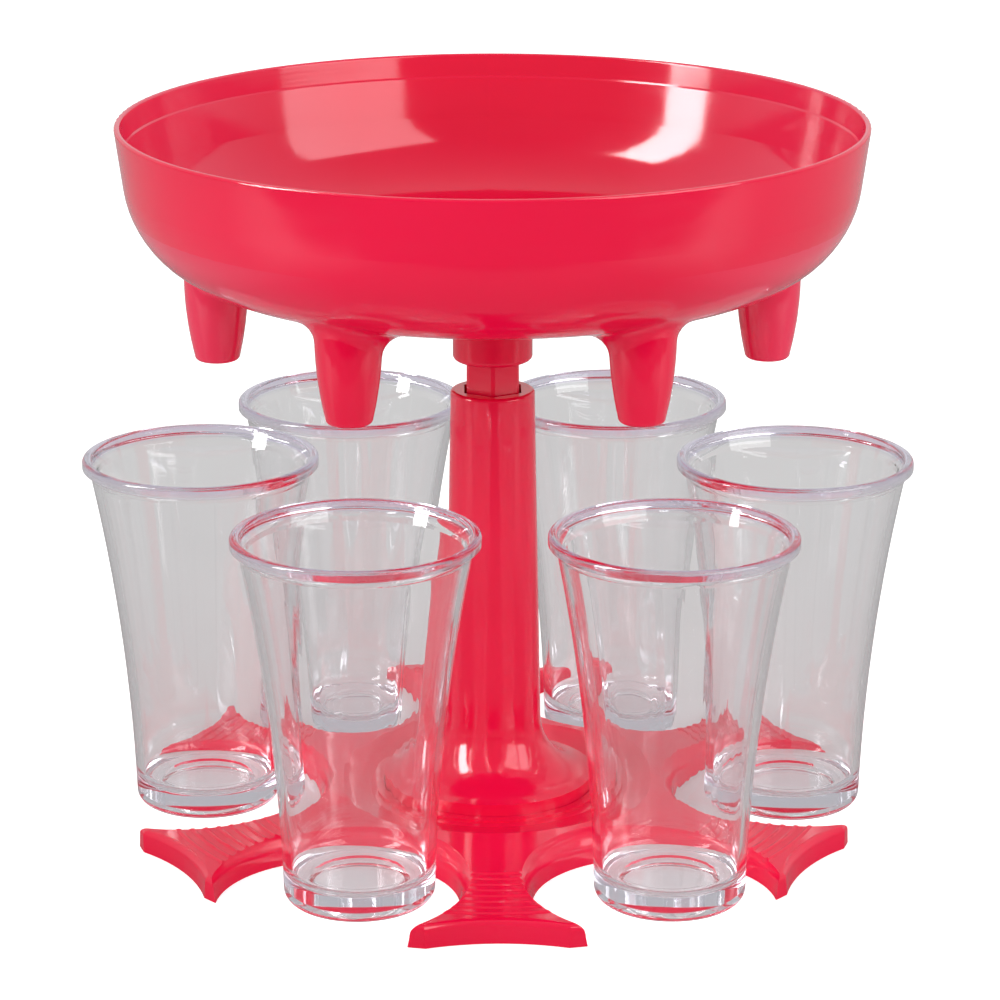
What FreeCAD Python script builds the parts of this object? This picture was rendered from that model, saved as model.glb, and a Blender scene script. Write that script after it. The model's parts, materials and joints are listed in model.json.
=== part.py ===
"""Party shot dispenser: a bowl is pressed down on its column and fills six shot cups at once.

The bowl is carried by a hexagonal stem that slides in the column against a spring. A star of
stoppers stands still on a rod inside the column. Pressing the bowl down lowers its six spouts
away from the stoppers, so the drink runs into the cups that stand in the bays of the base.

Millimetres, +Z up. The origin is the middle of the footprint, on the table. A cup and a spout lie
along +X and every 60 degrees round from it; an arm of the base lies along +Y and every 60 degrees.
"""
import FreeCAD, Part
import math
import os
import re

import Sketcher

CUPS = 6
SCREWS = 3
RIBS = 8
FULL_TURN = 360
HALF_STEP = FULL_TURN / CUPS / 2   # from an arm to the next bay, degrees
FIRST_CUP = 240                 # direction of cup 1, degrees

SIZES = {
    # Bowl
    "rim_over_ring": 20.0,      # from the circle of the spouts out to the rim
    "bowl_h": 39.3,             # from the lowest point of the belly up to the rim
    "rim_round": 0.5,
    "bowl_wall": 2.0,
    "lip_band": 5.2,            # height of the thinner wall at the rim, inside
    "lip_step": 0.25,           # that it is thinner by
    "lip_slope": 0.4,           # height of the slope between the two
    "bowl_draft": 7.5,          # lean of the side wall, degrees
    "inner_draft": 11.5,        # lean of its inside, which makes it thinner towards the rim
    "corner_r": 22.2,           # outside radius between side wall and belly
    "belly_r": 222.0,           # outside radius of the shallow belly
    "land_r": 10.0,             # flat seat for the gasket, in the middle of the floor
    "collar_r": 8.33,           # boss under the belly that takes the stem
    "collar_h": 11.3,           # of the boss below the belly
    "collar_round": 1.0,
    # Spouts
    "ring_r": 57.3,             # circle of the spouts
    "spout_drop": 11.2,         # of a spout's lowest point below the belly
    "spout_tip_r": 4.75,
    "spout_tip_round": 1.1,
    "spout_root_r": 6.65,
    "spout_side_r": 70.0,       # bulge of a spout's side
    "spout_fillet": 4.5,        # where a spout leaves the belly
    "spout_bore_low_r": 2.6,
    "spout_bore_high_r": 3.2,
    "pocket_r": 5.0,            # recess that a stopper closes
    "pocket_depth": 3.3,
    # Column
    "column_top_z": 93.2,
    "column_top_r": 8.85,
    "column_top_round": 0.7,
    "column_low_r": 10.2,       # where the foot starts to flare
    "flare_z": 21.2,            # height of that place and of the flare's centre
    "flare_r": 13.0,            # outside radius of the flare
    "skirt_r": 21.5,
    "column_wall": 2.0,
    "spring_room_r": 7.2,
    "spring_room_low_z": 26.0,
    "guide_h": 18.2,            # of the hexagonal guide at the column's top
    "guide_gap": 0.4,           # between a flat of the stem and a flat of the guide
    # Stem that carries the bowl
    "stem_flats": 11.1,         # across flats at the lower end
    "stem_flats_top": 10.8,
    "stem_chamfer": 0.5,
    "socket_depth": 6.0,        # of the stem in the collar
    "neck_r": 4.5,
    "tube_r": 4.8,
    "tube_bore_r": 3.1,
    "tube_over_floor": 15.0,    # standpipe above the floor of the bowl
    "retainer_r": 6.9,
    "retainer_t": 2.0,
    "neck_end": 1.5,            # of the neck below the retainer
    "gasket_r": 8.4,
    "gasket_t": 0.8,
    "stem_nut_flats": 14.6,
    "stem_nut_t": 3.8,
    "press_travel": 6.2,        # of the bowl
    "press_gap": 0.3,           # left between collar and column when pressed
    "seal_seat_r": 3.8,
    "seal_t": 1.8,
    "seal_depth": 2.5,          # of the counterbore at the top of the tube
    "running_fit": 0.05,
    "fit": 0.05,                # between pieces that are screwed or glued together
    # Valve gear
    "rod_r": 2.5,
    "rod_low_z": 0.6,
    "rod_top_gap": 0.4,         # between the tube and the star's hub
    "flange_r": 6.5,
    "flange_t": 1.5,
    "nut_flats": 8.0,
    "nut_t": 3.2,
    "washer_r": 5.2,
    "washer_t": 0.8,
    "spring_r": 5.3,            # to the middle of the wire
    "spring_wire_r": 0.5,
    "spring_turns": 10.0,
    "hub_r": 6.5,
    "hub_t": 2.4,
    "arm_w": 5.0,
    "arm_t": 1.8,
    "eye_r": 4.4,
    "stopper_r": 4.6,
    "stopper_t": 2.2,
    "nub_t": 1.6,
    "nub_gap": 0.5,
    "stud_r": 1.5,
    "stud_head_r": 2.1,
    "stud_head_t": 0.5,
    "star_screw_r": 1.5,
    "star_screw_head_r": 2.8,
    "star_screw_depth": 9.0,
    # Base
    "bay_shift": 6.9,           # from the circle of the spouts out to the middle of a bay
    "tip_reach": 13.7,          # from there out to the circle over the arms' corners
    "arm_end_z": 4.8,           # top of the base at its tips
    "crest_edge": 5.8,          # between the crest and a bay
    "crest_z": 6.9,
    "dish_floor": 2.2,          # level floor outside the locating ring
    "seat_z": 5.2,              # floor that the column stands on
    "ring_t": 2.1,              # locating ring round the column's skirt
    "ring_rise": 0.6,
    "skirt_gap": 0.2,
    "centre_boss_r": 8.0,
    "centre_boss_z": 12.0,
    "rod_hole_r": 2.7,
    "nut_room_r": 5.5,
    "nut_room_z": 5.0,
    "hub_wall": 2.5,
    "hub_edge": 3.3,            # between the hub's hollow and a bay
    "base_skin": 2.0,
    "rib_end": 3.3,             # from an arm's end to its last rib
    "rib_pitch": 2.6,
    "rib_half_w": 0.55,
    "rib_round": 0.6,
    "bay_r": 24.8,
    "bay_lean": 0.3,
    "bay_lip_z": 2.0,
    "bay_round": 5.0,
    "end_dip": 3.6,             # of the middle of an arm's end inside the corners
    "end_r": 44.4,
    "end_lean": 0.2,
    "end_lip_z": 3.5,
    "end_round": 1.4,
    "hollow_gap": 6.4,          # between the hub's hollow and an arm's
    "arm_hollow_t": 2.9,
    "arm_wall": 2.2,
    # Screws between base and column
    "screw_ring_r": 13.2,
    "screw_boss_r": 2.9,
    "screw_boss_top_z": 13.8,
    "screw_r": 1.2,
    "screw_head_r": 2.4,
    "screw_head_t": 1.8,
    "screw_depth": 3.8,         # in the column's boss
    "screw_hole_r": 1.5,
    # Cups
    "cup_z": 77.2,
    "cup_rim_r": 25.0,
    "cup_lip_t": 2.0,
    "cup_lip_band": 2.0,
    "cup_lip_round": 0.8,
    "cup_lip_under_r": 2.2,
    "cup_neck_r": 23.2,
    "cup_neck_drop": 4.0,
    "cup_low_r": 15.4,
    "cup_side_r": 416.0,        # long sweep of the side
    "cup_foot_round": 2.6,
    "cup_wall": 1.5,
    "cup_floor_z": 5.2,
    "cup_floor_round": 3.0,
    "cup_step_r": 9.6,
    "cup_step_t": 0.6,
    "cup_kick_r": 10.5,         # recess under the foot
    "cup_kick_t": 1.2,
    # Where each cup happens to stand: right of and behind the middle of its bay
    "cup_1_right": 4.4,
    "cup_1_behind": 5.7,
    "cup_2_right": 2.4,
    "cup_2_behind": 6.2,
    "cup_3_right": 0.9,
    "cup_3_behind": -3.7,
    "cup_4_right": -4.3,
    "cup_4_behind": -4.5,
    "cup_5_right": -0.2,
    "cup_5_behind": 3.4,
    "cup_6_right": 3.2,
    "cup_6_behind": 5.0,
}

# Lengths that follow from the sizes.
FORMULAS = {
    # Heights over the column
    "collar_z": "column_top_z + press_travel + press_gap",
    "belly_z": "collar_z + collar_h",
    "rim_z": "belly_z + bowl_h",
    "spout_z": "belly_z - spout_drop",
    "floor_z": "belly_z + bowl_wall",
    "guide_z": "column_top_z - guide_h",
    # Bowl: the corner's centre, from the middle of the belly's sphere
    "rim_r": "ring_r + rim_over_ring",
    "belly_centre_z": "belly_z + belly_r",
    "wall_foot_r": "rim_r - corner_r * cos(bowl_draft)",
    "wall_foot_z": "rim_z + corner_r * sin(bowl_draft) - belly_centre_z",
    "wall_along": "wall_foot_r * sin(bowl_draft) + wall_foot_z * cos(bowl_draft)",
    "wall_length": "wall_along + sqrt(wall_along ^ 2 - wall_foot_r ^ 2 - wall_foot_z ^ 2"
                   " + (belly_r - corner_r) ^ 2)",
    "corner_centre_r": "wall_foot_r - wall_length * sin(bowl_draft)",
    "corner_drop": "wall_foot_z - wall_length * cos(bowl_draft)",
    "corner_centre_z": "belly_centre_z + corner_drop",
    "inner_foot_r": "corner_centre_r + (corner_r - bowl_wall) * cos(inner_draft)",
    "inner_foot_z": "corner_centre_z - (corner_r - bowl_wall) * sin(inner_draft)",
    "lip_z": "rim_z - lip_band",
    "lip_foot_r": "inner_foot_r + (lip_z - inner_foot_z) * tan(inner_draft)",
    "mouth_r": "lip_foot_r + lip_step + (lip_band - lip_slope) * tan(bowl_draft)",
    "collar_top_z": "belly_centre_z - sqrt(belly_r ^ 2 - collar_r ^ 2)",
    "land_edge_z": "belly_centre_z - sqrt((belly_r - bowl_wall) ^ 2 - land_r ^ 2)",
    "pocket_floor_z": "belly_centre_z - sqrt((belly_r - bowl_wall) ^ 2 - ring_r ^ 2)"
                      " - pocket_depth",
    "spout_top_z": "(belly_z + rim_z) / 2",
    "spout_top_r": "spout_root_r - spout_side_r"
                   " + sqrt(spout_side_r ^ 2 - (spout_top_z - spout_wide_z) ^ 2)",
    "spout_low_z": "spout_z + spout_tip_round",
    "spout_wide_z": "spout_low_z"
                    " + sqrt(spout_side_r ^ 2 - (spout_side_r - spout_root_r + spout_tip_r) ^ 2)",
    # Column
    "flare_centre_r": "column_low_r + flare_r",
    "skirt_z": "flare_z - sqrt(flare_r ^ 2 - (flare_centre_r - skirt_r) ^ 2)",
    "skirt_inner_r": "skirt_r - column_wall",
    "flare_inner_r": "flare_r + column_wall",
    "flare_inner_z": "flare_z - sqrt(flare_inner_r ^ 2 - (flare_centre_r - skirt_inner_r) ^ 2)",
    "guide_flats": "stem_flats + 2 * guide_gap",
    # Stem
    "stem_top_z": "collar_z + socket_depth",
    "retainer_z": "guide_z - retainer_t",
    "neck_low_z": "retainer_z - neck_end",
    "tube_top_z": "floor_z + tube_over_floor",
    "nut_seat_z": "floor_z + gasket_t",
    "seal_z": "tube_top_z - seal_depth",
    # Valve gear
    "flange_top_z": "centre_boss_z + flange_t",
    "rod_top_z": "tube_top_z + rod_top_gap",
    "hub_top_z": "rod_top_z + hub_t",
    "eye_z": "pocket_floor_z + stopper_t",
    "eye_top_z": "eye_z + arm_t",
    "stud_hole_r": "stud_r + fit",
    "arm_end_r": "ring_r - 2 * stud_hole_r",
    "spring_low_z": "flange_top_z + spring_wire_r",
    "spring_height": "retainer_z - flange_top_z - 2 * spring_wire_r",
    "washer_z": "nut_room_z - washer_t",
    "nut_low_z": "washer_z - nut_t",
    # Base
    "bay_centre_r": "ring_r + bay_shift",
    "bay_inner_r": "bay_centre_r - bay_r",
    "tip_r": "bay_centre_r + tip_reach",
    "end_y": "tip_r - end_dip",
    "crest_r": "bay_inner_r - crest_edge",
    "hub_hollow_r": "bay_inner_r - hub_edge",
    "hub_hollow_z": "seat_z - base_skin",
    "ring_inner_r": "skirt_r + skirt_gap",
    "ring_outer_r": "ring_inner_r + ring_t",
    "dish_r": "ring_outer_r + dish_floor",
    "arm_slope": "(crest_z - arm_end_z) / (tip_r - end_round - crest_r)",
    "over_base_z": "crest_z + bay_lip_z",
    "end_centre_y": "end_y + end_r",
    "bay_x": "bay_centre_r * sin(%g)" % HALF_STEP,
    "bay_y": "bay_centre_r * cos(%g)" % HALF_STEP,
    "arm_hollow_r": "bay_r + bay_lean + arm_wall",
    "arm_hollow_y": "hub_hollow_r + hollow_gap",
    "arm_hollow_end_y": "end_y - end_lean - 2 * arm_wall",
    "screw_head_z": "hub_hollow_z - screw_head_t",
    "screw_end_z": "seat_z + screw_depth",
    # Cups
    "cup_neck_z": "cup_z - cup_neck_drop",
    "cup_foot_r": "cup_low_r - cup_foot_round",
    "cup_inner_low_r": "cup_low_r - cup_wall",
    "cup_inner_neck_r": "cup_neck_r - cup_wall",
    "cup_mouth_r": "cup_rim_r - cup_lip_t",
}

doc = FreeCAD.newDocument("shot_dispenser")
sheet = doc.addObject("Spreadsheet::Sheet", "Sizes")
for row, (alias, number) in enumerate(SIZES.items(), start=1):
    sheet.set("A%d" % row, alias)
    sheet.set("B%d" % row, str(number))
    sheet.setAlias("B%d" % row, alias)
doc.recompute()

nodes = []


def link(text):
    """Write out the named formulas in an expression and point its sizes at the sheet."""
    def expand(match):
        word = match.group(0)
        if word in FORMULAS:
            return "(" + link(FORMULAS[word]) + ")"
        return "Sizes." + word if word in SIZES else word
    return re.sub(r"[a-z]\w*", expand, text)


def value(text):
    return float(sheet.evalExpression(link(text)))


def bind(thing, prop, text):
    thing.setExpression(prop, link(text))


def new_body(name):
    body = doc.addObject("PartDesign::Body", name)
    body.Label = name
    nodes.append(body)
    return body


def origin_part(body, role):
    return next(feature for feature in body.Origin.OriginFeatures if feature.Role == role)


def new_sketch(body, name, plane, height):
    sketch = body.newObject("Sketcher::SketchObject", name)
    sketch.AttachmentSupport = [(origin_part(body, plane), "")]
    sketch.MapMode = "FlatFace"
    bind(sketch, "AttachmentOffset.Base.z", height)
    return sketch


def fix_length(sketch, constraint, text):
    """Add a dimension and tie it to a formula."""
    number = sketch.addConstraint(constraint)
    bind(sketch, "Constraints[%d]" % number, text)


def fix_point(sketch, side, end, across, up):
    """Tie a point of a sketch to two formulas. 0 puts it on the sketch's own axis."""
    for kind, axis, text in (("DistanceX", -2, across), ("DistanceY", -1, up)):
        if text == "0":
            sketch.addConstraint(Sketcher.Constraint("PointOnObject", side, end, axis))
        else:
            fix_length(sketch, Sketcher.Constraint(kind, -1, 1, side, end, value(text)), text)


def arc_between(first, last, radius):
    """The arc that runs counterclockwise from first to last."""
    chord = last - first
    rise = math.sqrt(max(radius ** 2 - (chord.Length / 2) ** 2, 0.0))
    leftward = FreeCAD.Vector(-chord.y, chord.x, 0).normalize()
    centre = (first + last) / 2 + leftward * rise
    start = math.atan2(first.y - centre.y, first.x - centre.x)
    stop = math.atan2(last.y - centre.y, last.x - centre.x)
    if stop < start:
        stop += 2 * math.pi
    return Part.ArcOfCircle(Part.Circle(centre, FreeCAD.Vector(0, 0, 1), radius), start, stop)


def outline(body, name, points, plane="XZ_Plane", height="0", axis=None):
    """A closed sketch through points that are pairs of formulas, counterclockwise.

    A third formula makes the side that leaves the point an arc of that radius, which bulges
    outwards, or inwards after a minus sign. axis adds a vertical axis line at that distance.
    """
    sketch = new_sketch(body, name, plane, height)
    places = [FreeCAD.Vector(value(point[0]), value(point[1]), 0) for point in points]
    sides = []
    for number, point in enumerate(points):
        first = places[number]
        last = places[(number + 1) % len(points)]
        if len(point) == 2:
            sides.append((sketch.addGeometry(Part.LineSegment(first, last)), 1, 2))
            continue
        radius = value(point[2].lstrip("-"))
        if point[2].startswith("-"):
            sides.append((sketch.addGeometry(arc_between(last, first, radius)), 2, 1))
        else:
            sides.append((sketch.addGeometry(arc_between(first, last, radius)), 1, 2))
    for number, point in enumerate(points):
        side, start, _ = sides[number]
        before, _, stop = sides[number - 1]
        sketch.addConstraint(Sketcher.Constraint("Coincident", before, stop, side, start))
        fix_point(sketch, side, start, point[0], point[1])
        if len(point) == 3:
            radius = point[2].lstrip("-")
            fix_length(sketch, Sketcher.Constraint("Radius", side, value(radius)), radius)
    if axis:
        foot = FreeCAD.Vector(value(axis), 0, 0)
        head = FreeCAD.Vector(value(axis), value("rim_z"), 0)
        line = sketch.addGeometry(Part.LineSegment(foot, head), True)
        fix_point(sketch, line, 1, axis, "0")
        fix_point(sketch, line, 2, axis, "rim_z")
    return sketch


def circle(body, name, across, radius, height):
    """A circle in a level sketch, centred on the X axis."""
    sketch = new_sketch(body, name, "XY_Plane", height)
    centre = FreeCAD.Vector(value(across), 0, 0)
    ring = sketch.addGeometry(Part.Circle(centre, FreeCAD.Vector(0, 0, 1), value(radius)))
    fix_point(sketch, ring, 3, across, "0")
    fix_length(sketch, Sketcher.Constraint("Radius", ring, value(radius)), radius)
    return sketch


def hexagon(body, name, flats, height, cut=None):
    """A level hexagon with a corner towards the front. cut takes a length off each side's ends."""
    half = "%s / 2" % flats
    low = "%s / (2 * sqrt(3))" % flats
    high = "%s / sqrt(3)" % flats
    points = [("0", high), ("-" + half, low), ("-" + half, "-" + low),
              ("0", "-" + high), (half, "-" + low), (half, low)]
    if cut:
        share = "(%s * sqrt(3) / %s)" % (cut, flats)
        corners = points
        points = []
        for number, corner in enumerate(corners):
            for neighbour in (corners[number - 1], corners[(number + 1) % len(corners)]):
                points.append(tuple("%s + (%s - (%s)) * %s" % (mine, other, mine, share)
                                    for mine, other in zip(corner, neighbour)))
    return outline(body, name, points, "XY_Plane", height)


def turn(body, name, sketch, kind="Revolution", axis="V_Axis"):
    """Turn a sketch into a solid, or out of one when kind is Groove."""
    feature = body.newObject("PartDesign::" + kind, name)
    feature.Profile = sketch
    feature.ReferenceAxis = (sketch, [axis])
    feature.Angle = FULL_TURN
    return feature


def extrude(body, name, sketch, length, kind="Pad"):
    """Push a level sketch up into a solid, or up out of one when kind is Pocket."""
    feature = body.newObject("PartDesign::" + kind, name)
    feature.Profile = sketch
    feature.Reversed = kind == "Pocket"
    bind(feature, "Length", length)
    return feature


def repeat(body, name, features, count=CUPS):
    pattern = body.newObject("PartDesign::PolarPattern", name)
    pattern.Originals = features
    pattern.Axis = (origin_part(body, "Z_Axis"), [""])
    pattern.Angle = FULL_TURN
    pattern.Occurrences = count
    body.Tip = pattern
    return pattern


def round_edges(body, name, feature, radius, chosen):
    """Fillet the edges of a feature that pass a test."""
    doc.recompute()
    edges = ["Edge%d" % number for number, edge in enumerate(feature.Shape.Edges, start=1)
             if chosen(edge)]
    fillet = body.newObject("PartDesign::Fillet", name)
    fillet.Base = (feature, edges)
    bind(fillet, "Radius", radius)
    body.Tip = fillet


def turned(name, points):
    """A piece turned about its own axis from one outline."""
    body = new_body(name)
    turn(body, name + "_solid", outline(body, name + "_outline", points))
    return body


def put_on_ring(body, ring, number, right="0", behind="0"):
    """Move a piece out along its own direction, counted from the front left, clockwise."""
    angle = FIRST_CUP - FULL_TURN // CUPS * (number - 1)
    bind(body, "Placement.Base.x", "%s * cos(%d) + %s" % (ring, angle, right))
    bind(body, "Placement.Base.y", "%s * sin(%d) + %s" % (ring, angle, behind))


def make_base():
    body = new_body("base")
    top = "crest_z - (%s - crest_r) * arm_slope"
    points = [("rod_hole_r", "nut_room_z"), ("nut_room_r", "nut_room_z"), ("nut_room_r", "0"),
              ("nut_room_r + hub_wall", "0"), ("nut_room_r + hub_wall", "hub_hollow_z"),
              ("hub_hollow_r", "hub_hollow_z"), ("hub_hollow_r", "0"), ("tip_r", "0"),
              ("tip_r", "arm_end_z - end_round", "end_round"), ("tip_r - end_round", "arm_end_z")]
    for rib in range(RIBS):
        middle = "end_y - rib_end - %d * rib_pitch" % rib
        outer = "(%s + rib_half_w)" % middle
        inner = "(%s - rib_half_w)" % middle
        points += [(outer, top % outer, "rib_round"), (inner, top % inner)]
    points += [("crest_r", "crest_z"), ("dish_r", "seat_z"), ("ring_outer_r", "seat_z"),
               ("ring_outer_r", "seat_z + ring_rise"),
               ("ring_inner_r", "seat_z + ring_rise"), ("ring_inner_r", "seat_z"),
               ("centre_boss_r", "seat_z"), ("centre_boss_r", "centre_boss_z"),
               ("rod_hole_r", "centre_boss_z")]
    turn(body, "base_plate", outline(body, "base_outline", points))

    points = [("bay_centre_r", "0"), ("bay_centre_r + bay_r", "0"),
              ("bay_centre_r + bay_r + bay_lean", "bay_lip_z", "-bay_round"),
              ("bay_centre_r + bay_r + bay_lean + bay_round", "bay_lip_z + bay_round"),
              ("bay_centre_r + bay_r + bay_lean + bay_round", "over_base_z + bay_round"),
              ("bay_centre_r", "over_base_z + bay_round")]
    bay = turn(body, "bay", outline(body, "bay_outline", points, axis="bay_centre_r"),
               "Groove", "Axis0")
    repeat(body, "bays", [bay])

    points = [("end_centre_y", "0"), ("end_centre_y", "over_base_z"),
              ("end_y - end_lean - end_round", "over_base_z"),
              ("end_y - end_lean - end_round", "end_lip_z + end_round", "-end_round"),
              ("end_y - end_lean", "end_lip_z"), ("end_y", "0")]
    end = turn(body, "arm_end", outline(body, "arm_end_outline", points, "YZ_Plane",
                                        axis="end_centre_y"), "Groove", "Axis0")
    repeat(body, "arm_ends", [end])

    side = "(bay_x - sqrt(arm_hollow_r ^ 2 - (%s - bay_y) ^ 2))"
    inner = side % "arm_hollow_y"
    outer = side % "arm_hollow_end_y"
    points = [("-" + inner, "arm_hollow_y"), (inner, "arm_hollow_y", "-arm_hollow_r"),
              (outer, "arm_hollow_end_y"), ("-" + outer, "arm_hollow_end_y", "-arm_hollow_r")]
    hollow = extrude(body, "arm_hollow", outline(body, "arm_hollow_outline", points, "XY_Plane"),
                     "arm_hollow_t", "Pocket")
    repeat(body, "arm_hollows", [hollow])

    hole = extrude(body, "screw_hole", circle(body, "screw_hole_circle", "screw_ring_r",
                                              "screw_hole_r", "hub_hollow_z"),
                   "base_skin", "Pocket")
    repeat(body, "screw_holes", [hole], SCREWS)


def make_column():
    body = new_body("column")
    points = [("0", "seat_z"), ("skirt_r", "seat_z"), ("skirt_r", "column_top_z"),
              ("0", "column_top_z")]
    turn(body, "column_blank", outline(body, "column_blank_outline", points))

    points = [("0", "seat_z"), ("skirt_inner_r", "seat_z"),
              ("skirt_inner_r", "flare_inner_z", "-flare_inner_r"),
              ("column_low_r - column_wall", "flare_z"), ("spring_room_r", "spring_room_low_z"),
              ("spring_room_r", "guide_z"), ("0", "guide_z")]
    turn(body, "spring_room", outline(body, "spring_room_outline", points), "Groove")

    boss = extrude(body, "screw_boss", circle(body, "screw_boss_circle", "screw_ring_r",
                                              "screw_boss_r", "seat_z"),
                   "screw_boss_top_z - seat_z")
    repeat(body, "screw_bosses", [boss], SCREWS)

    points = [("skirt_r", "skirt_z"), ("skirt_r + column_wall", "skirt_z"),
              ("skirt_r + column_wall", "column_top_z + column_wall"),
              ("column_top_r - column_top_round", "column_top_z + column_wall"),
              ("column_top_r - column_top_round", "column_top_z", "-column_top_round"),
              ("column_top_r", "column_top_z - column_top_round"),
              ("column_low_r", "flare_z", "flare_r")]
    turn(body, "column_outside", outline(body, "column_outside_outline", points), "Groove")

    extrude(body, "guide", hexagon(body, "guide_hexagon", "guide_flats", "guide_z"),
            "column_top_z - guide_z", "Pocket")
    pilot = extrude(body, "pilot_hole", circle(body, "pilot_circle", "screw_ring_r",
                                               "screw_r + fit", "seat_z"),
                    "screw_depth + fit", "Pocket")
    repeat(body, "pilot_holes", [pilot], SCREWS)


def make_bowl():
    body = new_body("bowl")

    def shell(inset, draft):
        """The belly's end and the corner's end, inset from outside."""
        reach = "(belly_r - %s) / (belly_r - corner_r)" % inset
        return [("corner_centre_r * %s" % reach, "belly_centre_z + corner_drop * %s" % reach,
                 "corner_r - %s" % inset),
                ("corner_centre_r + (corner_r - %s) * cos(%s)" % (inset, draft),
                 "corner_centre_z - (corner_r - %s) * sin(%s)" % (inset, draft))]

    points = [("0", "collar_z"), ("collar_r - collar_round", "collar_z", "collar_round"),
              ("collar_r", "collar_z + collar_round"), ("collar_r", "collar_top_z", "belly_r")]
    points += shell("0", "bowl_draft")
    points += [("rim_r", "rim_z"), ("0", "rim_z")]
    turn(body, "bowl_outside", outline(body, "bowl_outside_outline", points, "YZ_Plane"))

    points = [("ring_r", "spout_z"),
              ("ring_r + spout_tip_r - spout_tip_round", "spout_z", "spout_tip_round"),
              ("ring_r + spout_tip_r", "spout_low_z", "spout_side_r"),
              ("ring_r + spout_top_r", "spout_top_z"), ("ring_r", "spout_top_z")]
    spout = turn(body, "spout", outline(body, "spout_outline", points, axis="ring_r"),
                 axis="Axis0")
    spouts = repeat(body, "spouts", [spout])

    def spout_root(edge):
        box = edge.BoundBox
        middle = math.hypot(box.Center.x, box.Center.y)
        return (abs(middle - value("ring_r")) < value("spout_root_r")
                and box.ZMin > value("spout_low_z + spout_root_r")
                and box.DiagonalLength > value("spout_root_r"))

    round_edges(body, "spout_fillets", spouts, "spout_fillet", spout_root)

    over_rim = "rim_z + bowl_wall"
    points = [("0", "floor_z"), ("land_r", "floor_z"),
              ("land_r", "land_edge_z", "belly_r - bowl_wall")]
    points += shell("bowl_wall", "inner_draft")
    points += [("lip_foot_r", "lip_z"), ("lip_foot_r + lip_step", "lip_z + lip_slope"),
               ("mouth_r + bowl_wall * tan(bowl_draft)", over_rim),
               ("0", over_rim)]
    turn(body, "bowl_inside", outline(body, "bowl_inside_outline", points, "YZ_Plane"),
         "Groove")

    points = [("ring_r", "pocket_floor_z"), ("ring_r + pocket_r", "pocket_floor_z"),
              ("ring_r + pocket_r", "spout_top_z"), ("ring_r", "spout_top_z")]
    pocket = turn(body, "stopper_pocket", outline(body, "pocket_outline", points, axis="ring_r"),
                  "Groove", "Axis0")
    repeat(body, "stopper_pockets", [pocket])
    points = [("ring_r", "spout_z"), ("ring_r + spout_bore_low_r", "spout_z"),
              ("ring_r + spout_bore_high_r", "pocket_floor_z"), ("ring_r", "pocket_floor_z")]
    bore = turn(body, "spout_bore", outline(body, "spout_bore_outline", points, axis="ring_r"),
                "Groove", "Axis0")
    repeat(body, "spout_bores", [bore])

    extrude(body, "stem_socket", hexagon(body, "socket_hexagon", "(stem_flats_top + 4 * fit)",
                                         "collar_z"), "socket_depth", "Pocket")
    passage = extrude(body, "tube_hole", circle(body, "tube_circle", "0", "tube_r + fit",
                                                "collar_z"),
                      "floor_z - collar_z", "Pocket")

    def rim_edge(edge):
        box = edge.BoundBox
        return box.ZMin > value("rim_z - rim_round") and box.XLength > value("rim_r")

    round_edges(body, "rim_rounding", passage, "rim_round", rim_edge)


def make_stem():
    body = new_body("hex_stem")
    low = hexagon(body, "stem_low_outline", "stem_flats", "guide_z", "stem_chamfer")
    high = hexagon(body, "stem_high_outline", "stem_flats_top", "stem_top_z", "stem_chamfer")
    shaft = body.newObject("PartDesign::AdditiveLoft", "stem_shaft")
    shaft.Profile = low
    shaft.Sections = [high]
    shaft.Ruled = True
    points = [("0", "neck_low_z"), ("neck_r", "neck_low_z"), ("neck_r", "guide_z + neck_end"),
              ("tube_r", "guide_z + neck_end"), ("tube_r", "tube_top_z"), ("0", "tube_top_z")]
    turn(body, "tube", outline(body, "tube_outline", points))
    points = [("0", "neck_low_z"), ("tube_bore_r", "neck_low_z"), ("tube_bore_r", "seal_z"),
              ("seal_seat_r", "seal_z"), ("seal_seat_r", "tube_top_z"), ("0", "tube_top_z")]
    turn(body, "tube_bore", outline(body, "tube_bore_outline", points), "Groove")

    def ring(name, inner, outer, low, high):
        turned(name, [(inner, low), (outer, low), (outer, high), (inner, high)])

    ring("stem_retainer", "neck_r + fit", "retainer_r", "retainer_z", "guide_z")
    ring("stem_gasket", "tube_r + fit", "gasket_r", "floor_z", "nut_seat_z")
    ring("rod_seal", "rod_r + running_fit", "seal_seat_r", "seal_z", "seal_z + seal_t")
    ring("rod_washer", "rod_r + fit", "washer_r", "washer_z", "nut_room_z")
    hex_nut("stem_nut", "stem_nut_flats", "stem_nut_t", "nut_seat_z", "tube_r + fit")
    hex_nut("rod_nut", "nut_flats", "nut_t", "nut_low_z", "rod_r + fit")


def hex_nut(name, flats, thickness, low, bore):
    body = new_body(name)
    extrude(body, name + "_blank", hexagon(body, name + "_hexagon", flats, low), thickness)
    extrude(body, name + "_bore", circle(body, name + "_circle", "0", bore, low), thickness,
            "Pocket")


def make_rod():
    body = turned("valve_rod", [
        ("0", "rod_low_z"), ("rod_r", "rod_low_z"), ("rod_r", "centre_boss_z"),
        ("flange_r", "centre_boss_z"), ("flange_r", "flange_top_z"), ("rod_r", "flange_top_z"),
        ("rod_r", "rod_top_z"), ("0", "rod_top_z")])
    bottom = "rod_top_z - star_screw_depth - fit"
    points = [("0", bottom), ("star_screw_r + fit", bottom), ("star_screw_r + fit", "rod_top_z"),
              ("0", "rod_top_z")]
    turn(body, "tapped_hole", outline(body, "tapped_hole_outline", points), "Groove")


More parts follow.
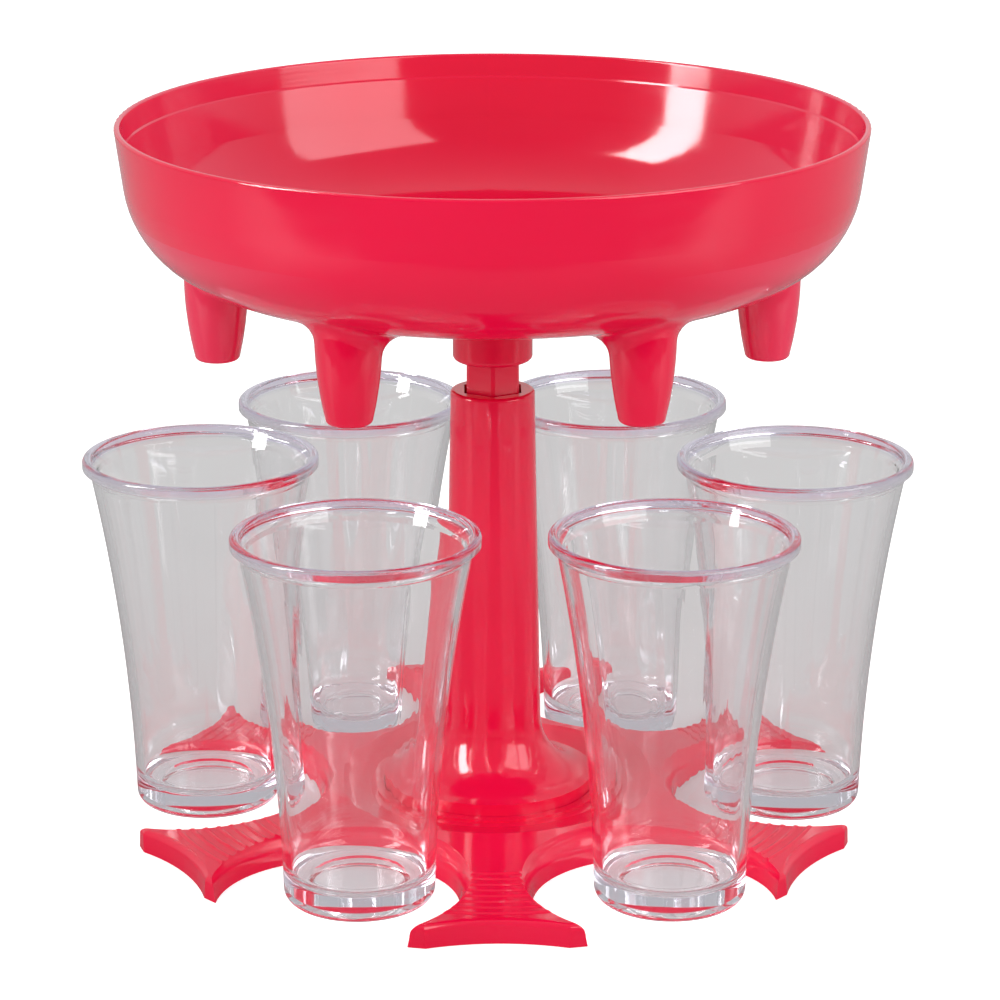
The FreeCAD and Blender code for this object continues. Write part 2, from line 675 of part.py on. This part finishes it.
def make_spring():
    coil = doc.addObject("Part::Helix", "spring_line")
    bind(coil, "Radius", "spring_r")
    bind(coil, "Height", "spring_height")
    bind(coil, "Pitch", "spring_height / spring_turns")
    bind(coil, "Placement.Base.z", "spring_low_z")
    wire = doc.addObject("Part::Circle", "spring_wire")
    bind(wire, "Radius", "spring_wire_r")
    bind(wire, "Placement.Base.x", "spring_r")
    bind(wire, "Placement.Base.z", "spring_low_z")
    wire.Placement.Rotation = FreeCAD.Rotation(FreeCAD.Vector(1, 0, 0), 90)
    spring = doc.addObject("Part::Sweep", "spring")
    spring.Label = "spring"
    doc.recompute()
    spring.Sections = [wire]
    spring.Spine = (coil, ["Edge%d" % number for number in range(1, len(coil.Shape.Edges) + 1)])
    spring.Solid = True
    spring.Frenet = True
    nodes.append(spring)


def make_star():
    body = new_body("valve_star")
    points = [("star_screw_r + fit", "rod_top_z"), ("hub_r", "rod_top_z"), ("hub_r", "hub_top_z"),
              ("star_screw_head_r + fit", "hub_top_z"),
              ("star_screw_r + fit", "hub_top_z - star_screw_head_r + star_screw_r")]
    turn(body, "hub", outline(body, "hub_outline", points))
    start = "hub_r - arm_t / 2"
    points = [(start, "rod_top_z"), ("arm_end_r", "eye_z"), ("arm_end_r", "eye_top_z"),
              (start, "rod_top_z + arm_t")]
    arm = extrude(body, "star_arm", outline(body, "star_arm_outline", points), "arm_w")
    arm.Midplane = True
    repeat(body, "star_arms", [arm])
    points = [("ring_r + stud_hole_r", "eye_z"), ("ring_r + eye_r", "eye_z"),
              ("ring_r + eye_r", "eye_top_z"), ("ring_r + stud_hole_r", "eye_top_z")]
    eye = turn(body, "star_eye", outline(body, "star_eye_outline", points, axis="ring_r"),
               axis="Axis0")
    repeat(body, "star_eyes", [eye])

    turned("star_screw", [
        ("0", "rod_top_z - star_screw_depth"), ("star_screw_r", "rod_top_z - star_screw_depth"),
        ("star_screw_r", "hub_top_z - star_screw_head_r + star_screw_r"),
        ("star_screw_head_r", "hub_top_z"), ("0", "hub_top_z")])


def make_stopper(number):
    nub = "spout_bore_high_r - nub_gap"
    body = turned("stopper_%d" % number, [
        ("0", "pocket_floor_z - nub_t"), (nub, "pocket_floor_z - nub_t"),
        (nub, "pocket_floor_z"), ("stopper_r", "pocket_floor_z"), ("stopper_r", "eye_z"),
        ("stud_r", "eye_z"), ("stud_r", "eye_top_z"), ("stud_head_r", "eye_top_z"),
        ("stud_r", "eye_top_z + stud_head_t"), ("0", "eye_top_z + stud_head_t")])
    put_on_ring(body, "ring_r", number)


def make_screws():
    """The screws that hold the column on the base, driven from below."""
    screws = []
    for number in range(SCREWS):
        parts = []
        for name, radius, low, high in (
                ("head", "screw_head_r", "screw_head_z", "hub_hollow_z"),
                ("shank", "screw_r", "hub_hollow_z", "screw_end_z")):
            piece = doc.addObject("Part::Cylinder", "screw_%s_%d" % (name, number + 1))
            angle = FULL_TURN / SCREWS * number
            bind(piece, "Radius", radius)
            bind(piece, "Height", "%s - %s" % (high, low))
            bind(piece, "Placement.Base.x", "screw_ring_r * cos(%g)" % angle)
            bind(piece, "Placement.Base.y", "screw_ring_r * sin(%g)" % angle)
            bind(piece, "Placement.Base.z", low)
            parts.append(piece)
        screw = doc.addObject("Part::MultiFuse", "screw_%d" % (number + 1))
        screw.Shapes = parts
        screws.append(screw)
    group = doc.addObject("Part::Compound", "column_screws")
    group.Label = "column_screws"
    group.Links = screws
    nodes.append(group)


def make_cup(number):
    body = turned("cup_%d" % number, [
        ("0", "cup_kick_t"), ("cup_kick_r - cup_kick_t", "cup_kick_t"), ("cup_kick_r", "0"),
        ("cup_foot_r", "0", "cup_foot_round"), ("cup_low_r", "cup_foot_round", "-cup_side_r"),
        ("cup_neck_r", "cup_neck_z", "-cup_lip_under_r"), ("cup_rim_r", "cup_z - cup_lip_band"),
        ("cup_rim_r", "cup_z - cup_lip_round", "cup_lip_round"),
        ("cup_rim_r - cup_lip_round", "cup_z"),
        ("cup_mouth_r + cup_lip_round", "cup_z", "cup_lip_round"),
        ("cup_mouth_r", "cup_z - cup_lip_round"),
        ("cup_inner_neck_r", "cup_neck_z", "cup_side_r + cup_wall"),
        ("cup_inner_low_r", "cup_floor_z + cup_floor_round", "-cup_floor_round"),
        ("cup_inner_low_r - cup_floor_round", "cup_floor_z"),
        ("cup_step_r", "cup_floor_z"), ("cup_step_r", "cup_floor_z - cup_step_t"),
        ("0", "cup_floor_z - cup_step_t")])
    put_on_ring(body, "bay_centre_r", number, "cup_%d_right" % number, "cup_%d_behind" % number)


def export():
    """Write every piece, once the whole model is sound."""
    doc.recompute()
    for thing in doc.Objects:
        if "Invalid" in thing.State or "Error" in thing.State:
            raise RuntimeError("%s failed: %s" % (thing.Name, thing.State))
    for node in nodes:
        if node.Shape.isNull() or not node.Shape.isValid() or not node.Shape.Solids:
            raise RuntimeError("%s has no sound solid" % node.Label)
    os.makedirs("parts", exist_ok=True)
    for node in nodes:
        node.Shape.exportStep("parts/%s.step" % node.Label)
        print("%-14s %2d solids %10.1f mm3" % (node.Label, len(node.Shape.Solids),
                                               node.Shape.Volume))


make_base()
make_column()
make_screws()
make_rod()
make_spring()
make_star()
for count in range(1, CUPS + 1):
    make_stopper(count)
make_bowl()
make_stem()
for count in range(1, CUPS + 1):
    make_cup(count)
export()
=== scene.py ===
"""Looks of the party shot dispenser: glossy red polystyrene, six clear shot cups, a white studio."""
import json
import math

import bmesh
import bpy
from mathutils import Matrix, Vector


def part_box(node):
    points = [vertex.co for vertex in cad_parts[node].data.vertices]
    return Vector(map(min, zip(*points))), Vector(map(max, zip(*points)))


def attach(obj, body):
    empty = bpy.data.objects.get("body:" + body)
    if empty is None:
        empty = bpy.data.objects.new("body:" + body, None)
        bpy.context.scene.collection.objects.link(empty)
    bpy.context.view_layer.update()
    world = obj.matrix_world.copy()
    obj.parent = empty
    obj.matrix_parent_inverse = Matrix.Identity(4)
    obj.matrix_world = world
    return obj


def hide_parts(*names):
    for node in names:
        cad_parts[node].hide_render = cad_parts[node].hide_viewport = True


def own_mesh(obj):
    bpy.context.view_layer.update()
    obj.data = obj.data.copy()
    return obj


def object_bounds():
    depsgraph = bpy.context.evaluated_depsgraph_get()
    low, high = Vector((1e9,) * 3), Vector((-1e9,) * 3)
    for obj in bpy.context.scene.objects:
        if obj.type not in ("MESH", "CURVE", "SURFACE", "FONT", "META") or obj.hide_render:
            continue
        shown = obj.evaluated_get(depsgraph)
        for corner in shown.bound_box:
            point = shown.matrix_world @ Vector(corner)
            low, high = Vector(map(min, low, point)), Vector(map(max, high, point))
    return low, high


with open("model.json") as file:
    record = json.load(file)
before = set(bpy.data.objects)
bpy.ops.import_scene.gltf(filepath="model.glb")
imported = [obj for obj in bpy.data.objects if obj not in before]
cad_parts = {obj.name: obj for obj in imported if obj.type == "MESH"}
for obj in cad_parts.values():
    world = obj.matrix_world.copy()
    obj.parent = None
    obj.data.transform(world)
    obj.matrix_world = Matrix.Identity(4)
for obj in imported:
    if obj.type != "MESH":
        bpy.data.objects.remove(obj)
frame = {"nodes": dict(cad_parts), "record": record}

MM = 0.001
LOADED_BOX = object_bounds()

# Camera: it looks down on the middle of the dispenser from the front. Angles are in degrees
FRAME_PIXELS = 1000
FOCAL_PIXELS = 3709.9
SENSOR_MM = 36.0
CAMERA_PLACE = (-8.8 * MM, -748.9 * MM, 297.0 * MM)
CAMERA_DOWN = 16.94
CAMERA_TURN = -0.79
CAMERA_CLIP = 10.0 * MM

# Spring
SPRING_RADIUS = 5.3 * MM
WIRE_RADIUS = 0.5 * MM
SPRING_TURNS = 10.0
TURN_STEPS = 40
WIRE_SIDES = 10

# Bowl: its rim, the lean of its side and the band of thinner wall under the rim
RIM_Z = LOADED_BOX[1][2]
BOWL_LEAN = math.radians(7.5)
RIM_MIDDLE = 76.7 * MM
LIP_BAND = 5.2 * MM

# Room: how bright it looks, where 1 is white
ROOM_SEEN = 1.0                 # to the camera
ROOM_LIGHT = 0.76               # to a surface that it lights
ROOM_THROUGH = 0.63             # through clear plastic
INNER_SHARE = 0.82              # of that in reflections from a clear wall's inside
ROOM_FRONT = 0.264              # in a mirror, at the camera's side of the object
ROOM_SIDE = 0.48
ROOM_BACK = 0.76
FRONT_Y = -0.70                 # Y of the directions that have those three
SIDE_Y = -0.25
BACK_Y = 0.30

# Floor: its size, its paint and glow, and how bright it looks in a mirror
FLOOR_HALF = 3.0
FLOOR_GAP = 0.1 * MM
FLOOR_ROUGHNESS = 0.9
FLOOR_PAINT = 0.82
FLOOR_GLOW = 0.60               # to the camera, so that it looks white
THROUGH_PAINT = 0.64            # through clear plastic
THROUGH_GLOW = 0.05
FLOOR_NEAR = 0.34               # in a mirror, in line with the object
FLOOR_ASIDE = 1.20              # in front of it to the left and right
FLOOR_BEHIND = 0.52             # beside it and further back
FLOOR_FAR = 0.20                # past the table's front edge, before it gets dark
ASIDE_SPAN = (0.14, 0.34)       # distance to the side between near and aside
BEHIND_SPAN = (-0.20, -0.05)    # Y between aside and behind
DARK_SPAN = (-0.41, -0.36)      # Y between dark and far
FLOOR_EDGE = 255.0 * MM         # the table's front edge, which runs back outside FLOOR_CORNER
FLOOR_CORNER = 225.0 * MM
FLOOR_SLANT = 0.77
EDGE_BLUR = 10.0 * MM

# Soft boxes: what they point at and how far from it they stand
AIM = Vector((0.0, 0.0, 80.0 * MM))
BOX_DISTANCE = 1.0

# Colours
WHITE = (1.0, 1.0, 1.0, 1.0)
RED_LOW = (0.77, 0.0020, 0.042, 1.0)
RED_HIGH = (0.85, 0.0040, 0.054, 1.0)
# painted sheen: the paler pink of the bowl's inside towards its left and right
PAINTED_SHEEN_RED = (0.82, 0.0330, 0.095, 1.0)
LILAC = (0.80, 0.76, 0.96, 1.0)
LIP_LILAC = (0.80, 0.735, 1.0, 1.0)
SILICONE_LOW = (0.70, 0.69, 0.66, 1.0)
SILICONE_HIGH = (0.78, 0.77, 0.74, 1.0)
ACETAL_LOW = (0.76, 0.75, 0.72, 1.0)
ACETAL_HIGH = (0.82, 0.81, 0.78, 1.0)
STEEL = (0.62, 0.62, 0.63, 1.0)
ZINC = (0.66, 0.66, 0.64, 1.0)

# Red plastic: the depth of its waves, and the painted sheen and the mould's lines inside the bowl
RED_DEPTH = 0.05 * MM
PAINTED_SHEEN_SPAN = (30.0 * MM, 66.0 * MM)
LINE_STRETCH = (12.0, 12.0, 1500.0)
LINE_HEIGHT = 0.16
LINE_LEAST = 0.12               # share of it that is left far below the rim

# Clear plastic: a cup's lip, the tint's strength and what goes straight through
CUP_LIP = 2.4 * MM
LILAC_DENSITY = 14.0
LIGHT_PASSED = 0.94
SPENT_AFTER = 2.5               # reflections, after which a ray goes straight through

# A Mix node's sockets for colours, which have the same names as those for numbers
MIX_FIRST = 6
MIX_SECOND = 7
MIX_RESULT = 2


class Tree:
    """A node tree, with short calls for the nodes that the looks and the studio share."""

    def __init__(self, tree):
        self.nodes = tree.nodes
        self.links = tree.links

    def node(self, kind, **settings):
        node = self.nodes.new(kind)
        for key, setting in settings.items():
            setattr(node, key, setting)
        return node

    def coordinates(self, kind):
        return self.node("ShaderNodeTexCoord").outputs[kind]

    def split(self, vector):
        """The X, Y and Z of a vector."""
        node = self.node("ShaderNodeSeparateXYZ")
        self.links.new(vector, node.inputs["Vector"])
        return node.outputs

    def math(self, operation, *sources):
        """The result of an operation on numbers and on what other nodes give."""
        node = self.node("ShaderNodeMath", operation=operation)
        for socket, source in zip(node.inputs, sources):
            if isinstance(source, float):
                socket.default_value = source
            else:
                self.links.new(source, socket)
        return node.outputs["Value"]

    def fade(self, source, start, stop, first, last):
        """A value that goes from first to last while its source goes from start to stop."""
        span = self.node("ShaderNodeMapRange")
        for key, number in (("From Min", start), ("From Max", stop),
                            ("To Min", first), ("To Max", last)):
            span.inputs[key].default_value = number
        self.links.new(source, span.inputs["Value"])
        return span.outputs["Result"]


class Material(Tree):
    """A node material with one Principled shader, built step by step."""

    def __init__(self, name):
        self.material = bpy.data.materials.new(name)
        self.material.use_nodes = True
        super().__init__(self.material.node_tree)
        self.shader = self.nodes["Principled BSDF"]
        self.output = self.nodes["Material Output"]
        self.place = self.coordinates("Object")

    def set(self, **values):
        """Set numbers and colours on the shader itself, with _ for a space in their names."""
        for key, setting in values.items():
            self.shader.inputs[key.replace("_", " ")].default_value = setting

    def feed(self, socket, source):
        self.links.new(source, self.shader.inputs[socket])

    def stretched(self, scale):
        """The place on the object, scaled along each axis."""
        mapping = self.node("ShaderNodeMapping")
        mapping.inputs["Scale"].default_value = scale
        self.links.new(self.place, mapping.inputs["Vector"])
        return mapping.outputs["Vector"]

    def noise(self, scale, detail=3.0, roughness=0.5, place=None):
        noise = self.node("ShaderNodeTexNoise")
        noise.inputs["Scale"].default_value = scale
        noise.inputs["Detail"].default_value = detail
        noise.inputs["Roughness"].default_value = roughness
        self.links.new(place or self.place, noise.inputs["Vector"])
        return noise.outputs["Fac"]

    def ramp(self, source, low, high, start=0.0, stop=1.0):
        """A colour that goes from low to high while its source goes from start to stop."""
        node = self.node("ShaderNodeValToRGB")
        ends = node.color_ramp.elements
        for end, position, colour in ((ends[0], start, low), (ends[1], stop, high)):
            end.position = position
            end.color = colour
        self.links.new(source, node.inputs["Fac"])
        return node.outputs["Color"]

    def mix(self, share, first, second):
        """Go from the first colour to the second."""
        node = self.node("ShaderNodeMix", data_type="RGBA")
        self.links.new(share, node.inputs["Factor"])
        self.links.new(first, node.inputs[MIX_FIRST])
        node.inputs[MIX_SECOND].default_value = second
        return node.outputs[MIX_RESULT]

    def bump(self, height, depth):
        bump = self.node("ShaderNodeBump")
        bump.inputs["Distance"].default_value = depth
        self.links.new(height, bump.inputs["Height"])
        self.feed("Normal", bump.outputs["Normal"])


def red_base(name):
    """Glossy moulded polystyrene with wiping marks.

    Its faint cloudiness and its orange peel come back as a colour and a height, to be fed to it.
    """
    look = Material(name)
    look.set(IOR=1.57, Subsurface_Weight=0.10, Subsurface_Scale=2.0 * MM,
             Subsurface_Radius=(1.0, 0.12, 0.15))
    wipe = look.noise(60.0, detail=4.0, roughness=0.6, place=look.stretched((1.0, 1.0, 5.0)))
    look.feed("Roughness", look.fade(wipe, 0.3, 0.7, 0.07, 0.13))
    cloud = look.noise(14.0, detail=2.0)
    colour = look.ramp(cloud, RED_LOW, RED_HIGH, start=0.35, stop=0.65)
    wave = look.noise(55.0, detail=1.0)
    grain = look.fade(look.noise(1600.0, detail=2.0), 0.0, 1.0, 0.0, 0.03)
    return look, colour, look.math("ADD", wave, grain)


def red_plastic():
    look, colour, height = red_base("red_plastic_look")
    look.feed("Base Color", colour)
    look.bump(height, RED_DEPTH)
    return look


def bowl_plastic():
    """The red plastic with the mould's fine level lines on the bowl's inside, where a painted sheen
    makes it paler towards the left and right.
    """
    look, colour, height = red_base("red_bowl_look")
    place = look.split(look.place)
    flat = look.node("ShaderNodeVectorMath", operation="MULTIPLY")
    flat.inputs[1].default_value = (1.0, 1.0, 0.0)
    look.links.new(look.place, flat.inputs[0])
    radius = look.node("ShaderNodeVectorMath", operation="LENGTH")
    look.links.new(flat.outputs["Vector"], radius.inputs[0])
    depth = look.math("SUBTRACT", RIM_Z, place["Z"])
    leaned = look.math("MULTIPLY_ADD", depth, math.tan(BOWL_LEAN), radius.outputs["Value"])
    inside = look.math("LESS_THAN", leaned, RIM_MIDDLE)
    aside = look.math("ABSOLUTE", place["X"])
    # painted sheen: the inside of the bowl turns paler pink towards its left and right sides
    painted_sheen = look.math("MULTIPLY", look.fade(aside, *PAINTED_SHEEN_SPAN, 0.0, 1.0), inside)
    look.feed("Base Color", look.mix(painted_sheen, colour, PAINTED_SHEEN_RED))
    fading = look.fade(depth, LIP_BAND, 3.0 * LIP_BAND, 1.0, LINE_LEAST)
    lines = look.noise(1.0, detail=4.0, roughness=0.7, place=look.stretched(LINE_STRETCH))
    ripple = look.math("MULTIPLY", look.math("MULTIPLY", lines, fading), inside)
    ripple = look.math("MULTIPLY", ripple, LINE_HEIGHT)
    look.bump(look.math("ADD", height, ripple), RED_DEPTH)
    return look


def clear_plastic():
    """Clear polystyrene with a lilac tint, which is deeper in a cup's lip.

    Light that shines through it onto something isn't bent.
    """
    look = Material("clear_plastic_look")
    look.set(IOR=1.55, Transmission_Weight=1.0, Roughness=0.0)
    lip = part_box("cup_1")[1][2] - CUP_LIP
    height = look.split(look.place)["Z"]
    look.feed("Base Color", look.ramp(height, WHITE, LIP_LILAC, lip, lip + MM))
    wave = look.noise(60.0, detail=1.5, place=look.stretched((1.0, 1.0, 0.35)))
    look.bump(wave, 0.09 * MM)
    path = look.node("ShaderNodeLightPath").outputs
    lit = look.math("MAXIMUM", path["Is Shadow Ray"], path["Is Diffuse Ray"])
    spent = look.math("GREATER_THAN", path["Glossy Depth"], SPENT_AFTER)
    passed = look.math("MULTIPLY", look.math("MAXIMUM", lit, spent), LIGHT_PASSED)
    look.feed("Alpha", look.math("SUBTRACT", 1.0, passed))
    tint = look.node("ShaderNodeVolumeAbsorption")
    tint.inputs["Color"].default_value = LILAC
    tint.inputs["Density"].default_value = LILAC_DENSITY
    look.links.new(tint.outputs["Volume"], look.output.inputs["Volume"])
    return look


def silicone():
    look = Material("silicone_look")
    look.set(IOR=1.42, Subsurface_Weight=0.4, Subsurface_Scale=2.0 * MM)
    look.feed("Base Color", look.ramp(look.noise(40.0), SILICONE_LOW, SILICONE_HIGH))
    look.feed("Roughness", look.fade(look.noise(300.0), 0.0, 1.0, 0.38, 0.52))
    look.bump(look.noise(2200.0, detail=2.0), 0.04 * MM)
    return look


def white_plastic():
    look = Material("white_plastic_look")
    look.feed("Base Color", look.ramp(look.noise(30.0), ACETAL_LOW, ACETAL_HIGH))
    look.feed("Roughness", look.fade(look.noise(200.0), 0.0, 1.0, 0.30, 0.42))
    look.bump(look.noise(1500.0, detail=2.0), 0.03 * MM)
    return look


def steel(name, colour, roughness, stretch):
    """Steel whose drawing or turning marks run the way that the noise is stretched."""
    look = Material(name)
    look.set(Metallic=1.0, Base_Color=colour)
    drawn = look.noise(900.0, detail=3.0, roughness=0.6, place=look.stretched(stretch))
    look.feed("Roughness", look.fade(drawn, 0.0, 1.0, roughness - 0.07, roughness + 0.08))
    look.bump(drawn, 0.03 * MM)
    return look


def dress_nodes(looks):
    """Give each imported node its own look, or else the look of its material slot."""
    for part in frame["record"]["subparts"]:
        node = frame["nodes"][part["node"]]
        look = looks.get(part["node"], looks[part["material_slot"]])
        for slot in node.material_slots:
            slot.material = look.material


def coil_mesh(bottom, height):
    """A round wire wound into a helix, closed at its ends. Its middle line starts at bottom."""
    shape = bmesh.new()
    rings = []
    steps = int(SPRING_TURNS * TURN_STEPS)
    for step in range(steps + 1):
        share = step / steps
        angle = 2 * math.pi * SPRING_TURNS * share
        out = Vector((math.cos(angle), math.sin(angle), 0.0))
        centre = out * SPRING_RADIUS + Vector((0.0, 0.0, bottom + height * share))
        ring = []
        for side in range(WIRE_SIDES):
            turn = 2 * math.pi * side / WIRE_SIDES
            offset = out * math.cos(turn) + Vector((0.0, 0.0, math.sin(turn)))
            ring.append(shape.verts.new(centre + offset * WIRE_RADIUS))
        rings.append(ring)
    for first, second in zip(rings, rings[1:]):
        for side in range(WIRE_SIDES):
            after = (side + 1) % WIRE_SIDES
            shape.faces.new((first[side], first[after], second[after], second[side]))
    shape.faces.new(rings[0])
    shape.faces.new(reversed(rings[-1]))
    bmesh.ops.recalc_face_normals(shape, faces=shape.faces)
    for face in shape.faces:
        face.smooth = len(face.verts) == 4
    mesh = bpy.data.meshes.new("spring_coil")
    shape.to_mesh(mesh)
    shape.free()
    return mesh


def make_spring(look):
    """A coil that stands for the solid spring, on the stand's body."""
    low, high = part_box("spring")
    length = high[2] - low[2]
    mesh = coil_mesh(low[2] + WIRE_RADIUS, length - 2 * WIRE_RADIUS)
    mesh.materials.append(look.material)
    coil = bpy.data.objects.new("spring_coil", mesh)
    bpy.context.scene.collection.objects.link(coil)
    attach(coil, "stand")
    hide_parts("spring")
    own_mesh(coil)


class Stage(Tree):
    """A node tree of the studio, which can tell the kinds of ray apart."""

    def __init__(self, tree):
        super().__init__(tree)
        self.path = self.node("ShaderNodeLightPath").outputs

    def by_ray(self, seen, mirrored, through, light):
        """What the camera, a mirror, clear plastic and a lit surface see."""
        inside = self.math("MINIMUM", self.path["Transmission Depth"], 1.0)
        outside = self.math("SUBTRACT", 1.0, inside)
        turned = self.math("MINIMUM", self.path["Glossy Depth"], 1.0)
        kept = self.math("SUBTRACT", 1.0, self.math("MULTIPLY", turned, 1.0 - INNER_SHARE))
        beyond = self.math("MULTIPLY", self.math("MULTIPLY", kept, through), inside)
        bent = self.math("ADD", beyond, self.math("MULTIPLY", outside, mirrored))
        sharp = self.math("MAXIMUM", self.path["Is Glossy Ray"], self.path["Is Transmission Ray"])
        total = self.math("MULTIPLY", sharp, bent)
        for ray, share in (("Is Camera Ray", seen), ("Is Diffuse Ray", light)):
            total = self.math("ADD", total, self.math("MULTIPLY", self.path[ray], share))
        return total


def make_world():
    """A white room that is darker at the camera's side."""
    world = bpy.data.worlds.new("studio")
    bpy.context.scene.world = world
    world.use_nodes = True
    world.node_tree.nodes.clear()
    stage = Stage(world.node_tree)
    backward = stage.split(stage.coordinates("Generated"))["Y"]
    front = stage.fade(backward, FRONT_Y, SIDE_Y, ROOM_FRONT - ROOM_SIDE, 0.0)
    back = stage.fade(backward, SIDE_Y, BACK_Y, ROOM_SIDE, ROOM_BACK)
    mirrored = stage.math("ADD", front, back)
    room = stage.node("ShaderNodeBackground")
    room.inputs["Color"].default_value = WHITE
    shine = stage.by_ray(ROOM_SEEN, mirrored, ROOM_THROUGH, ROOM_LIGHT)
    stage.links.new(shine, room.inputs["Strength"])
    output = stage.node("ShaderNodeOutputWorld")
    stage.links.new(room.outputs["Background"], output.inputs["Surface"])


def floor_look():
    """White paint that looks like a table top in a mirror: grey near, and dark in the distance."""
    material = bpy.data.materials.new("floor_look")
    material.use_nodes = True
    stage = Stage(material.node_tree)
    place = stage.split(stage.coordinates("Object"))
    aside = stage.math("ABSOLUTE", place["X"])
    slant = stage.math("MAXIMUM", stage.math("SUBTRACT", aside, FLOOR_CORNER), 0.0)
    inward = stage.math("SUBTRACT", place["Y"], stage.math("MULTIPLY", slant, FLOOR_SLANT))
    on_table = stage.fade(inward, -FLOOR_EDGE - EDGE_BLUR, -FLOOR_EDGE, 0.0, 1.0)
    off_table = stage.math("SUBTRACT", 1.0, on_table)
    bright = stage.fade(aside, *ASIDE_SPAN, FLOOR_NEAR, FLOOR_ASIDE)
    behind = stage.fade(place["Y"], *BEHIND_SPAN, FLOOR_ASIDE, FLOOR_BEHIND)
    table = stage.math("MULTIPLY", on_table, stage.math("MINIMUM", bright, behind))
    far = stage.fade(place["Y"], *DARK_SPAN, 0.0, FLOOR_FAR)
    mirrored = stage.math("ADD", table, stage.math("MULTIPLY", off_table, far))
    paint = stage.by_ray(FLOOR_PAINT, mirrored, THROUGH_PAINT, FLOOR_PAINT)
    glow = stage.by_ray(FLOOR_GLOW, 0.0, THROUGH_GLOW, 0.0)
    shader = stage.nodes["Principled BSDF"]
    shader.inputs["Roughness"].default_value = FLOOR_ROUGHNESS
    shader.inputs["Specular IOR Level"].default_value = 0.0
    shader.inputs["Emission Color"].default_value = WHITE
    stage.links.new(paint, shader.inputs["Base Color"])
    stage.links.new(glow, shader.inputs["Emission Strength"])
    return material


def make_floor():
    shape = bmesh.new()
    bmesh.ops.create_grid(shape, x_segments=1, y_segments=1, size=FLOOR_HALF)
    mesh = bpy.data.meshes.new("floor")
    shape.to_mesh(mesh)
    shape.free()
    mesh.materials.append(floor_look())
    floor = bpy.data.objects.new("floor", mesh)
    bpy.context.scene.collection.objects.link(floor)
    floor.location.z = -FLOOR_GAP


def soft_box(name, azimuth, elevation, width, height, radiance, mirrored):
    """A soft box aimed at the middle of the object, either for its light or for its mirror image.

    Angles are in degrees. Azimuth 0 is at the camera's side of the object, positive to the right.
    """
    data = bpy.data.lights.new(name, "AREA")
    data.shape = "RECTANGLE"
    data.size = width
    data.size_y = height
    data.energy = radiance * math.pi * width * height
    light = bpy.data.objects.new(name, data)
    bpy.context.scene.collection.objects.link(light)
    turn = math.radians(azimuth)
    rise = math.radians(elevation)
    away = Vector((math.sin(turn) * math.cos(rise), -math.cos(turn) * math.cos(rise),
                   math.sin(rise)))
    light.location = AIM + away * BOX_DISTANCE
    light.rotation_euler = away.to_track_quat("Z", "Y").to_euler()
    light.visible_diffuse = not mirrored
    light.visible_glossy = mirrored
    light.visible_transmission = mirrored


def make_lights():
    """Two windows that only show in mirrors and clear plastic, and two lights that only light."""
    soft_box("left_window", -69.5, 30.0, 0.27, 0.88, radiance=17.0, mirrored=True)
    soft_box("right_window", 52.5, 27.5, 0.81, 0.79, radiance=3.3, mirrored=True)
    soft_box("left_light", -60.0, 25.0, 0.60, 0.60, radiance=2.4, mirrored=False)
    soft_box("right_light", 50.0, 25.0, 0.80, 0.80, radiance=1.5, mirrored=False)


def make_camera():
    data = bpy.data.cameras.new("camera")
    data.sensor_fit = "HORIZONTAL"
    data.sensor_width = SENSOR_MM
    data.lens = SENSOR_MM * FOCAL_PIXELS / FRAME_PIXELS
    data.clip_start = CAMERA_CLIP
    camera = bpy.data.objects.new("camera", data)
    bpy.context.scene.collection.objects.link(camera)
    camera.location = CAMERA_PLACE
    camera.rotation_euler = (math.radians(90.0 - CAMERA_DOWN), 0.0, math.radians(CAMERA_TURN))
    bpy.context.scene.camera = camera


looks = {
    "bowl": bowl_plastic(),
    "red_plastic": red_plastic(),
    "clear_plastic": clear_plastic(),
    "silicone": silicone(),
    "white_plastic": white_plastic(),
    "stainless_steel": steel("stainless_steel_look", STEEL, 0.28, stretch=(1.0, 1.0, 12.0)),
    "zinc_steel": steel("zinc_steel_look", ZINC, 0.35, stretch=(4.0, 4.0, 1.0)),
}
dress_nodes(looks)
make_spring(looks["stainless_steel"])
make_world()
make_floor()
make_lights()
make_camera()
bpy.context.scene.view_settings.view_transform = "Standard"
